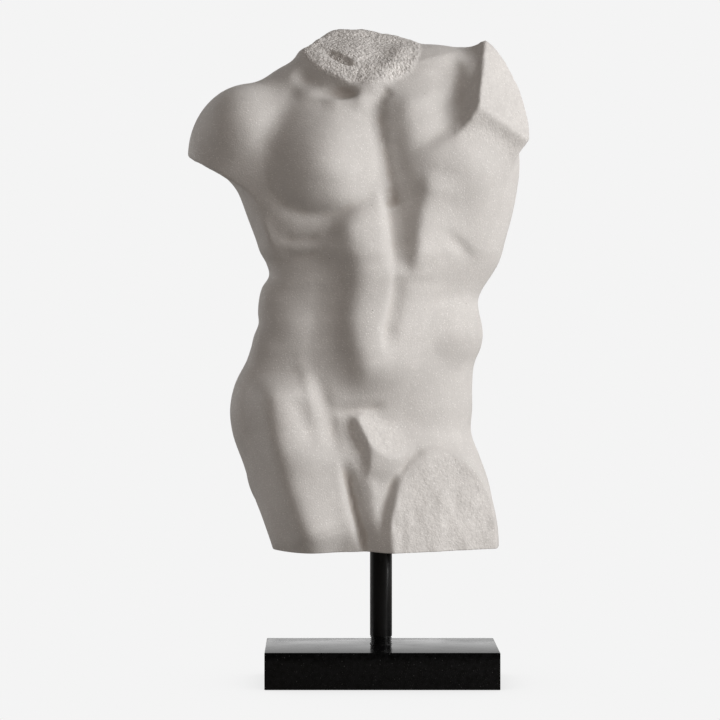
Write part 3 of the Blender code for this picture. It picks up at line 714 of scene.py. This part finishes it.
def rod_profile(runs, pitch, chamfer):
    """Radius and height of the rod's rows of points from foot to top, close together at the threads."""
    rows = [(ROD_RADIUS - chamfer, ROD_LOW.z), (ROD_RADIUS, ROD_LOW.z + chamfer)]
    for low, high in runs:
        count = round((high - low) / pitch * ROWS_PER_TURN)
        rows += [(ROD_RADIUS, low + (high - low) * k / count) for k in range(count + 1)]
    return rows + [(ROD_RADIUS, ROD_HIGH.z - chamfer), (ROD_RADIUS - chamfer, ROD_HIGH.z)]


def turned(rows):
    """Spins the profile round the rod's axis and closes both ends."""
    bm = bmesh.new()
    verts = [bm.verts.new((r, 0, z)) for r, z in rows]
    edges = [bm.edges.new(pair) for pair in zip(verts, verts[1:])]
    bmesh.ops.spin(
        bm, geom=verts + edges, cent=(0, 0, 0), axis=(0, 0, 1), angle=2 * pi, steps=ROD_SIDES, use_merge=True
    )
    for end in (rows[0][1], rows[-1][1]):
        rim = [e for e in bm.edges if all(abs(v.co.z - end) < 1e-6 for v in e.verts)]
        bmesh.ops.contextual_create(bm, geom=rim)
    return bm


def cut_thread(bm, low, high, pitch, depth):
    """Presses a helical groove into the rod between two heights, eased over half a turn at each end."""
    for vert in bm.verts:
        x, y, z = vert.co
        if low <= z <= high:
            turn = (z - low) / pitch - atan2(y, x) / (2 * pi)
            groove = min(1, (1 - abs(2 * (turn % 1) - 1)) * 1.25)
            ease = min(1, (z - low) / pitch * 2, (high - z) / pitch * 2)
            share = 1 - depth * groove * ease / ROD_RADIUS
            vert.co.x, vert.co.y = x * share, y * share


# Materials.


def feed(tree, made, inputs):
    """Links or sets the node's inputs."""
    for key, value in inputs.items():
        if isinstance(value, bpy.types.NodeSocket):
            tree.links.new(value, made.inputs[key])
        else:
            made.inputs[key].default_value = value
    return made


def node(tree, kind, inputs=None, **settings):
    """A new node with its settings, and its inputs linked or set."""
    made = tree.nodes.new("ShaderNode" + kind)
    for name, value in settings.items():
        setattr(made, name, value)
    return feed(tree, made, inputs or {})


def math(tree, operation, *values):
    """What the operation makes of the values."""
    return node(tree, "Math", dict(enumerate(values)), operation=operation).outputs[0]


def ramp(tree, value, low, high, to_low=0.0, to_high=1.0):
    """A smooth step from one value to another while the input goes from low to high."""
    inputs = {0: value, 1: low, 2: high, 3: to_low, 4: to_high}
    return node(tree, "MapRange", inputs, interpolation_type="SMOOTHSTEP").outputs[0]


def mixed(tree, share, a, b):
    """Colour a, with that share of colour b."""
    return node(tree, "Mix", {0: share, 6: a, 7: b}, data_type="RGBA").outputs[2]


def tint(colour, *shares):
    """The colour with its channels scaled, by one share or by one each for red, green and blue."""
    pairs = zip(colour[:3], shares if len(shares) == 3 else shares * 3)
    return (*(min(1, channel * share) for channel, share in pairs), 1)


def node_group(name, inputs, output):
    """A new shader node group with its sockets, and its input sockets and output node."""
    group = bpy.data.node_groups.new(name, "ShaderNodeTree")
    group.interface.new_socket("Vector", in_out="INPUT", socket_type="NodeSocketVector")
    for label, value in inputs.items():
        socket = group.interface.new_socket(label, in_out="INPUT", socket_type="NodeSocketFloat")
        socket.default_value = value
    group.interface.new_socket(output, in_out="OUTPUT", socket_type="NodeSocketFloat")
    return group, group.nodes.new("NodeGroupInput").outputs, group.nodes.new("NodeGroupOutput")


def mottle_group():
    """Soft cloudy variation: a value from Low to High."""
    group, ins, out = node_group("Mottle", {"Scale": 20.0, "Detail": 4.0, "Low": 0.0, "High": 1.0}, "Value")
    inputs = {"Vector": ins["Vector"], "Scale": ins["Scale"], "Detail": ins["Detail"], "Roughness": 0.6}
    cloud = node(group, "TexNoise", inputs).outputs["Fac"]
    feed(group, out, {"Value": ramp(group, cloud, 0.28, 0.72, ins["Low"], ins["High"])})
    return group


def speck_group():
    """Sparse round specks: a mask that is 1 in a speck. Share is how many of the cells hold one."""
    group, ins, out = node_group("Specks", {"Scale": 300.0, "Size": 0.25, "Share": 0.1}, "Mask")
    cells = node(group, "TexVoronoi", {"Vector": ins["Vector"], "Scale": ins["Scale"]}).outputs
    chance = node(group, "SeparateColor", {0: cells["Color"]}).outputs[0]
    chosen = math(group, "LESS_THAN", chance, ins["Share"])
    inside = ramp(group, math(group, "DIVIDE", cells["Distance"], ins["Size"]), 0.6, 1.0, 1.0, 0.0)
    feed(group, out, {"Mask": math(group, "MULTIPLY", inside, chosen)})
    return group


def grain_group():
    """Fine granular height, like sugar or sprayed paint, from about 0 to 1."""
    group, ins, out = node_group("Grain", {"Scale": 700.0, "Crystals": 0.5}, "Height")
    place = {"Vector": ins["Vector"], "Scale": ins["Scale"]}
    soft = node(group, "TexNoise", {**place, "Detail": 2.0, "Roughness": 0.65}).outputs["Fac"]
    grains = node(group, "TexVoronoi", place).outputs["Distance"]
    round_grain = ramp(group, grains, 0.0, 0.9, 1.0, 0.0)
    height = node(group, "Mix", {0: ins["Crystals"], 2: soft, 3: round_grain}, data_type="FLOAT")
    feed(group, out, {"Height": height.outputs[0]})
    return group


GROUPS = {"Mottle": mottle_group, "Specks": speck_group, "Grain": grain_group}


class Look:
    """A new material, and the patterns that its node tree is made of."""

    def __init__(self, name):
        self.material = bpy.data.materials.new(name)
        self.material.use_nodes = True
        self.tree = self.material.node_tree
        self.at = node(self.tree, "TexCoord").outputs["Object"]

    def placed(self, name, **inputs):
        """The output of a node group, which is built the first time."""
        made = self.tree.nodes.new("ShaderNodeGroup")
        made.node_tree = bpy.data.node_groups.get(name) or GROUPS[name]()
        return feed(self.tree, made, {"Vector": self.at, **inputs}).outputs[0]

    def mottle(self, scale, detail, low=0.0, high=1.0):
        return self.placed("Mottle", Scale=scale, Detail=detail, Low=low, High=high)

    def specks(self, scale, size, share):
        return self.placed("Specks", Scale=scale, Size=size, Share=share)

    def grain(self, scale, crystals):
        return self.placed("Grain", Scale=scale, Crystals=crystals)

    def attribute(self, name):
        return node(self.tree, "Attribute", attribute_name=name).outputs["Fac"]

    def scaled(self, value, share):
        return math(self.tree, "MULTIPLY", value, share)

    def tinged(self, base, mask, share, colour):
        """The base colour, with up to that share of another where the mask is 1."""
        return mixed(self.tree, self.scaled(mask, share), base, colour)

    def height(self, *layers):
        """The sum of the layers, each a pattern and its height in metres."""
        total, *others = [self.scaled(pattern, height) for pattern, height in layers]
        for layer in others:
            total = math(self.tree, "ADD", total, layer)
        return total

    def finish(self, colour, roughness, specular, height):
        """Links what the surface shows, and gives the material."""
        bump = node(self.tree, "Bump", {"Height": height, "Strength": 1.0, "Distance": 1.0})
        shown = {
            "Base Color": colour,
            "Roughness": roughness,
            "Specular IOR Level": specular,
            "Normal": bump.outputs[0],
        }
        feed(self.tree, self.tree.nodes["Principled BSDF"], shown)
        return self.material


# Colour of the bright grains: partly their own paler colour, partly a painted glint
GRAIN_AND_PAINTED_GLINT = (0.86, 0.84, 0.82, 1)
# Painted shade inside the pits
PIT_SHADE = (0.16, 0.13, 0.11, 1)
DUST = (0.12, 0.12, 0.12, 1)
STONE_CLOUD = (0.006, 0.006, 0.0065, 1)
STONE_SPECK = (0.1, 0.1, 0.1, 1)


def resin_material(settings):
    """Stone-filled resin: warm grey, matt and sugary, with bright grains that are partly a painted glint, a
    few pits and the creases darkened with painted shade, and rawer breaks lightened partly with painted
    light.
    """
    look = Look("sugary_resin")
    tree, colour = look.tree, settings.colour
    broken_face = look.attribute("broken")
    sparkle = look.specks(scale=640.0, size=0.42, share=0.2)
    pits = look.specks(scale=95.0, size=0.055, share=0.14)
    base = mixed(tree, look.mottle(scale=14.0, detail=5.0), tint(colour, 0.94), tint(colour, 1.1))
    base = look.tinged(base, look.mottle(scale=32.0, detail=3.0), 0.2, tint(colour, 0.7))
    base = look.tinged(base, look.mottle(scale=620.0, detail=2.0), 0.55, tint(colour, 0.86))
    # Bright grains: partly the filler's own paler colour, partly a painted glint for the sparkle.
    base = look.tinged(base, sparkle, 0.6, GRAIN_AND_PAINTED_GLINT)
    # Painted shade: the colour is darkened and warmed in the creases, where shade falls.
    base = look.tinged(base, look.attribute("crease"), 0.45, tint(colour, 0.72, 0.66, 0.6))
    # Painted shade: the pits, which the bump below presses in, are darkened as if in shadow.
    base = look.tinged(base, pits, 0.8, PIT_SHADE)
    # Breaks get a rawer, lighter colour: partly the fresh break's own colour, partly painted light that
    # brightens the neck's break most.
    raw_and_painted_light = mixed(tree, look.mottle(scale=210.0, detail=4.0), tint(colour, 0.8), tint(colour, 1.5))
    base = look.tinged(base, broken_face, 0.6, raw_and_painted_light)
    raw_grain = look.grain(scale=settings.grain_scale * 0.5, crystals=0.3)
    return look.finish(
        base,
        roughness=math(tree, "SUBTRACT", 0.66, look.scaled(sparkle, 0.28)),
        specular=0.3,
        height=look.height(
            (look.grain(scale=settings.grain_scale, crystals=0.45), 0.00028),
            (look.mottle(scale=70.0, detail=2.0), 0.00012),
            (look.scaled(raw_grain, broken_face), 0.0021),
            (pits, -0.0006),
        ),
    )


def rod_material(settings):
    """Satin black paint on steel: faint orange peel, a little dust."""
    look = Look("black_paint")
    dust = look.specks(scale=420.0, size=0.16, share=0.12)
    return look.finish(
        look.tinged(tuple(settings.colour), dust, 0.3, DUST),
        roughness=look.mottle(scale=90.0, detail=3.0, low=0.3, high=0.44),
        specular=0.2,
        height=look.height((look.grain(scale=900.0, crystals=0.0), 0.00004)),
    )


def plinth_material(settings):
    """Polished black stone with fine grey specks and faint smears in the polish."""
    look = Look("polished_black_stone")
    fine = look.specks(scale=430.0, size=0.2, share=0.16)
    cloud = look.mottle(scale=260.0, detail=5.0)
    stone = mixed(look.tree, cloud, tuple(settings.colour), STONE_CLOUD)
    smears = look.mottle(scale=26.0, detail=6.0, low=0.08, high=0.2)
    return look.finish(
        look.tinged(stone, fine, 0.5, STONE_SPECK),
        roughness=math(look.tree, "ADD", smears, look.scaled(fine, 0.2)),
        specular=0.14,
        height=look.height((look.mottle(scale=40.0, detail=1.0), 0.00002)),
    )


# Settings.


class ResinSettings(bpy.types.PropertyGroup):
    """The torso's sizes and colour."""

    mesh_size: bpy.props.FloatProperty(
        name="Mesh size",
        description="Size of the faces of the torso's surface",
        default=0.0024,
        min=0.0015,
        unit="LENGTH",
    )
    clearance: bpy.props.FloatProperty(
        name="Socket clearance",
        description="Gap round the rod in the torso's socket",
        default=CLEARANCE,
        unit="LENGTH",
    )
    grain_scale: bpy.props.FloatProperty(
        name="Grains per metre", description="How fine the sugary grain is", default=620.0
    )
    colour: bpy.props.FloatVectorProperty(
        name="Resin colour",
        description="Colour of the cast resin",
        subtype="COLOR",
        size=4,
        default=(0.61, 0.588, 0.567, 1),
    )


class RodSettings(bpy.types.PropertyGroup):
    """The rod's thread and colour."""

    thread_pitch: bpy.props.FloatProperty(
        name="Thread pitch",
        description="Distance between two turns of the thread",
        default=0.002,
        unit="LENGTH",
    )
    thread_depth: bpy.props.FloatProperty(
        name="Thread depth", description="Depth of the thread's groove", default=0.0011, unit="LENGTH"
    )
    turns_at_plinth: bpy.props.IntProperty(
        name="Turns at the plinth", description="Turns of thread that show above the plinth", default=4
    )
    turns_at_torso: bpy.props.IntProperty(
        name="Turns at the torso", description="Turns of thread that show under the torso", default=2
    )
    chamfer: bpy.props.FloatProperty(
        name="Chamfer", description="Chamfer of the rod's ends", default=0.0015, unit="LENGTH"
    )
    colour: bpy.props.FloatVectorProperty(
        name="Paint colour",
        description="Colour of the rod's paint",
        subtype="COLOR",
        size=4,
        default=(0.004, 0.004, 0.004, 1),
    )


class PlinthSettings(bpy.types.PropertyGroup):
    """The plinth's edges and colour."""

    edge_radius: bpy.props.FloatProperty(
        name="Edge radius", description="Rounding of the plinth's edges", default=0.0008, unit="LENGTH"
    )
    socket_depth: bpy.props.FloatProperty(
        name="Socket depth",
        description="Depth of the hole that takes the rod",
        default=PLINTH_HIGH.z - ROD_LOW.z + CLEARANCE,
        unit="LENGTH",
    )
    colour: bpy.props.FloatVectorProperty(
        name="Stone colour",
        description="Colour of the plinth's stone",
        subtype="COLOR",
        size=4,
        default=(0.002, 0.002, 0.002, 1),
    )


class StudioSettings(bpy.types.PropertyGroup):
    """The plain studio round the torso."""

    backdrop: bpy.props.FloatProperty(
        name="Backdrop", description="Brightness of the floor and the backdrop", default=0.905
    )
    ambient: bpy.props.FloatProperty(
        name="Ambient", description="Strength of the soft light from all round", default=0.16
    )
    key_power: bpy.props.FloatProperty(
        name="Key light", description="Power of the broad light at the right", default=54.0, unit="POWER"
    )
    fill_power: bpy.props.FloatProperty(
        name="Fill light",
        description="Power of the weak light behind on the left",
        default=12.0,
        unit="POWER",
    )


class TorsoModelSettings(bpy.types.PropertyGroup):
    """Everything that a user would change."""

    resin: bpy.props.PointerProperty(type=ResinSettings, name="Resin", description="The torso's settings")
    rod: bpy.props.PointerProperty(type=RodSettings, name="Rod", description="The rod's settings")
    plinth: bpy.props.PointerProperty(type=PlinthSettings, name="Plinth", description="The plinth's settings")
    studio: bpy.props.PointerProperty(type=StudioSettings, name="Studio", description="The studio's settings")


# Operators.


class TORSO_OT_cast_torso(bpy.types.Operator):
    """Make the cast resin torso with its broken neck, shoulders, thigh and crotch"""

    bl_idname = "torso.cast_torso"
    bl_label = "Cast torso"

    def execute(self, context):
        settings = context.scene.torso_model.resin
        torso = shaped_torso(settings.mesh_size / MM)
        mark_surface(torso)
        mesh = torso.data
        scale = (TORSO_HIGH.z - TORSO_LOW.z) / DRAWN_HEIGHT
        mesh.transform(Matrix.Translation((0, 0, TORSO_LOW.z)) @ Matrix.Scale(scale, 4))
        bm = bmesh.new()
        bm.from_mesh(mesh)
        rim = cut_off(bm, (0, 0, TORSO_LOW.z), (0, 0, -1))
        bore(bm, rim, TORSO_LOW.z, ROD_HIGH.z + settings.clearance, ROD_RADIUS + settings.clearance)
        bm.to_mesh(mesh)
        bm.free()
        mesh.shade_smooth()
        mesh.materials.append(resin_material(settings))
        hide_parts("torso")
        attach(torso, "root")
        return {"FINISHED"}


class TORSO_OT_turn_rod(bpy.types.Operator):
    """Make the black steel rod with its cut thread at both ends"""

    bl_idname = "torso.turn_rod"
    bl_label = "Threaded rod"

    def execute(self, context):
        settings = context.scene.torso_model.rod
        pitch = settings.thread_pitch
        runs = [
            (PLINTH_HIGH.z + THREAD_GAP, PLINTH_HIGH.z + THREAD_END + settings.turns_at_plinth * pitch),
            (TORSO_LOW.z - THREAD_END - settings.turns_at_torso * pitch, TORSO_LOW.z - THREAD_GAP),
        ]
        bm = turned(rod_profile(runs, pitch, settings.chamfer))
        for low, high in runs:
            cut_thread(bm, low, high, pitch, settings.thread_depth)
        bmesh.ops.recalc_face_normals(bm, faces=bm.faces[:])
        rod = made_object("rod_threaded", bm)
        rod.data.set_sharp_from_angle(angle=radians(35))
        rod.data.materials.append(rod_material(settings))
        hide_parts("rod")
        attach(rod, "root")
        return {"FINISHED"}


class TORSO_OT_polish_plinth(bpy.types.Operator):
    """Make the oblong plinth with softened edges and the socket for the rod"""

    bl_idname = "torso.polish_plinth"
    bl_label = "Polished plinth"

    def execute(self, context):
        settings = context.scene.torso_model.plinth
        bm = bmesh.new()
        middle = Matrix.Translation((PLINTH_LOW + PLINTH_HIGH) / 2)
        size = PLINTH_HIGH - PLINTH_LOW
        bmesh.ops.create_cube(bm, size=1, matrix=middle @ Matrix.Diagonal((*size, 1)))
        radius = settings.edge_radius
        bmesh.ops.bevel(
            bm, geom=bm.edges[:], offset=radius, segments=4, profile=0.5, affect="EDGES", material=-1
        )
        top = max(bm.faces, key=lambda f: f.calc_center_median().z)
        rim = list(top.edges)
        bm.faces.remove(top)
        bore(bm, rim, PLINTH_HIGH.z, PLINTH_HIGH.z - settings.socket_depth, ROD_RADIUS + CLEARANCE)
        plinth = made_object("plinth_block", bm)
        plinth.data.set_sharp_from_angle(angle=radians(50))
        plinth.data.materials.append(plinth_material(settings))
        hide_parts("plinth")
        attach(plinth, "root")
        return {"FINISHED"}


LIGHTS_AIM = (0, 0, 0.38)


def area_light(name, at, size, power):
    """A square light that faces about the torso's middle."""
    light = bpy.data.lights.new(name, "AREA")
    light.size, light.energy = size, power
    obj = bpy.data.objects.new(name, light)
    obj.location = at
    obj.rotation_euler = (Vector(LIGHTS_AIM) - Vector(at)).to_track_quat("-Z", "Y").to_euler()
    bpy.context.scene.collection.objects.link(obj)


def by_ray(tree, kind, chosen, other):
    """One shader for rays of that kind, and the other for the rest."""
    is_kind = node(tree, "LightPath").outputs[f"Is {kind} Ray"]
    return node(tree, "MixShader", {0: is_kind, 1: other, 2: chosen}).outputs[0]


class TORSO_OT_set_studio(bpy.types.Operator):
    """Set the pale floor, the soft light and the camera"""

    bl_idname = "torso.set_studio"
    bl_label = "Studio"

    def execute(self, context):
        scene = context.scene
        settings = scene.torso_model.studio
        self.backdrop(scene, settings)
        self.floor(settings)
        area_light("key", at=(2.05, -0.8, 1.1), size=1.5, power=settings.key_power)
        area_light("fill", at=(-2.0, 1.1, 0.45), size=1.4, power=settings.fill_power)
        self.camera(scene)
        scene.view_settings.view_transform = "Standard"
        return {"FINISHED"}

    def camera(self, scene):
        """Stands at EYE, looks straight ahead, and is shifted to show the drawing's square."""
        camera = bpy.data.cameras.new("camera")
        eye = bpy.data.objects.new("camera", camera)
        scene.collection.objects.link(eye)
        eye.location = (EYE[0] * MM, EYE[1] * MM, TORSO_LOW.z + EYE[2] * MM)
        eye.rotation_euler = (radians(90), 0, 0)
        camera.sensor_width = 36
        camera.lens = camera.sensor_width * -EYE[1] / PICTURE
        camera.shift_x = (PICTURE_MIDDLE[0] - DRAWN[0]) / PICTURE
        camera.shift_y = (PICTURE_MIDDLE[1] - DRAWN[1]) / PICTURE
        scene.camera = eye

    def backdrop(self, scene, settings):
        """Soft light, most of it from the front. The camera sees a plain pale ground instead."""
        world = bpy.data.worlds.new("studio")
        scene.world = world
        world.use_nodes = True
        tree = world.node_tree
        direction = node(tree, "SeparateXYZ", {0: node(tree, "TexCoord").outputs["Generated"]}).outputs
        back, up = direction["Y"], direction["Z"]
        above = ramp(tree, up, -0.2, 0.9, settings.ambient, settings.ambient * 1.15)
        front = ramp(tree, back, -1.0, 0.3, 2.5, 0.6)
        soft = tree.nodes["Background"]
        feed(tree, soft, {0: (1.0, 0.913, 0.85, 1), 1: math(tree, "MULTIPLY", above, front)})
        behind = ramp(tree, back, -0.1, 0.35, 0.008, 0.95)
        mirrored = node(tree, "Background", {0: (1, 1, 1, 1), 1: behind})
        shown = node(tree, "Background", {0: (1, 1, 1, 1), 1: settings.backdrop})
        light = by_ray(tree, "Glossy", mirrored.outputs[0], soft.outputs[0])
        feed(tree, tree.nodes["World Output"], {0: by_ray(tree, "Camera", shown.outputs[0], light)})

    def floor(self, settings):
        """A wide matt floor that the camera sees as the ground's own tone, with a painted shadow that darkens
        it close to the plinth.
        """
        bm = bmesh.new()
        bmesh.ops.create_circle(bm, cap_ends=True, radius=40, segments=64)
        floor = made_object("floor", bm, smooth_faces=False)
        material = bpy.data.materials.new("pale_floor")
        material.use_nodes = True
        tree = material.node_tree
        tree.nodes.clear()
        matt = node(tree, "BsdfDiffuse", {0: (0.45, 0.43, 0.41, 1)}).outputs[0]
        # Painted shadow: ambient occlusion darkens the tone that the camera sees close to the plinth.
        near_plinth = node(tree, "AmbientOcclusion", {"Distance": 0.12}, samples=8).outputs["AO"]
        shade = ramp(tree, near_plinth, 0.3, 1.0, settings.backdrop * 0.86, settings.backdrop)
        shown = node(tree, "Emission", {0: (1, 1, 1, 1), 1: shade}).outputs[0]
        feed(tree, node(tree, "OutputMaterial"), {0: by_ray(tree, "Camera", shown, matt)})
        floor.data.materials.append(material)


class TORSO_PT_panel(bpy.types.Panel):
    """Lists the torso's pieces and settings"""

    bl_idname = "TORSO_PT_panel"
    bl_label = "Torso on a rod"
    bl_space_type = "VIEW_3D"
    bl_region_type = "UI"
    bl_category = "Torso"

    def draw(self, context):
        model = context.scene.torso_model
        for operator, settings in (
            (TORSO_OT_cast_torso, model.resin),
            (TORSO_OT_turn_rod, model.rod),
            (TORSO_OT_polish_plinth, model.plinth),
            (TORSO_OT_set_studio, model.studio),
        ):
            box = self.layout.box()
            box.operator(operator.bl_idname)
            for name in settings.__annotations__:
                box.prop(settings, name)


CLASSES = (
    ResinSettings,
    RodSettings,
    PlinthSettings,
    StudioSettings,
    TorsoModelSettings,
    TORSO_OT_cast_torso,
    TORSO_OT_turn_rod,
    TORSO_OT_polish_plinth,
    TORSO_OT_set_studio,
    TORSO_PT_panel,
)


def register():
    for cls in CLASSES:
        bpy.utils.register_class(cls)
    bpy.types.Scene.torso_model = bpy.props.PointerProperty(type=TorsoModelSettings)


def unregister():
    del bpy.types.Scene.torso_model
    for cls in reversed(CLASSES):
        bpy.utils.unregister_class(cls)


def main():
    register()
    bpy.ops.torso.set_studio()
    bpy.ops.torso.cast_torso()
    bpy.ops.torso.turn_rod()
    bpy.ops.torso.polish_plinth()


if __name__ == "__main__":
    main()
